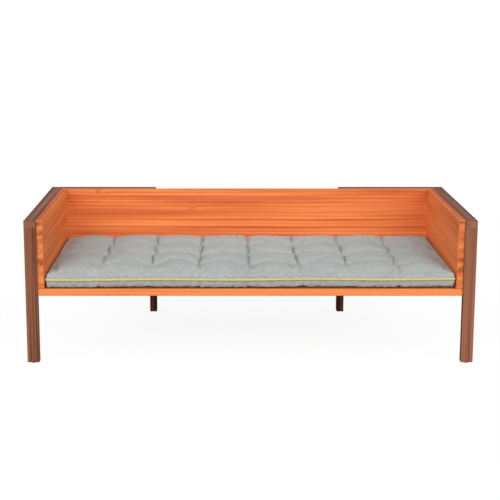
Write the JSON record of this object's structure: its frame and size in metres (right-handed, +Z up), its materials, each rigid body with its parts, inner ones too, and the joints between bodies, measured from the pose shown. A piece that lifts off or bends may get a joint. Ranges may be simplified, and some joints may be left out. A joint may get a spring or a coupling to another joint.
{
  "type": "dog bed with frame",
  "caption": "Open-fronted dog bed: stained pine boards hung in a flat-bar walnut frame on straight legs, with a loose tufted cotton mattress edged in yellow piping.",
  "frame": {"origin": "on the floor, midway between the two sides and midway between the front legs' faces and the back rails' faces", "axes": "+X to the right as seen from the open front, +Y from the open front to the back, +Z up"},
  "size_m": [1.2, 0.584, 0.39],
  "materials": {
    "walnut": "oiled walnut, open grain, satin",
    "stained_pine": "pine with an orange oil stain, satin",
    "beech_dowel": "plain beech, matte",
    "zinc_screw": "bright zinc plate, satin",
    "nylon_glide": "moulded nylon, matte",
    "chambray": "grey-green cotton chambray, plain weave, matte",
    "piping_cotton": "yellow cotton piping, matte",
    "cotton_wadding": "cotton wadding, matte",
    "tuft_thread": "twisted grey cotton thread, matte"
  },
  "bodies": {
    "frame": {"front_leg_left": "walnut", "front_leg_right": "walnut", "back_leg_left": "walnut", "back_leg_right": "walnut", "side_rail_left": "walnut", "side_rail_right": "walnut", "back_rail_left": "walnut", "back_rail_right": "walnut", "side_panel_left": "stained_pine", "side_panel_right": "stained_pine", "back_panel": "stained_pine", "base_plank_front": "stained_pine", "base_plank_middle": "stained_pine", "base_plank_back": "stained_pine", "base_batten_left": "stained_pine", "base_batten_middle": "stained_pine", "base_batten_right": "stained_pine", "leg_dowels": "beech_dowel", "corner_dowels": "beech_dowel", "panel_dowels": "beech_dowel", "base_dowels": "beech_dowel", "panel_screws": "zinc_screw", "batten_screws": "zinc_screw", "leg_glides": "nylon_glide"},
    "mattress": {"mattress_cover_top": "chambray", "mattress_cover_bottom": "chambray", "mattress_piping": "piping_cotton", "mattress_core": "cotton_wadding", "tuft_stitches": "tuft_thread"}
  },
  "joints": [
    {"name": "mattress_lift", "type": "slide", "parent": "frame", "child": "mattress", "axis": [0, 0, 1], "range_m": [0, 0.3]}
  ]
}
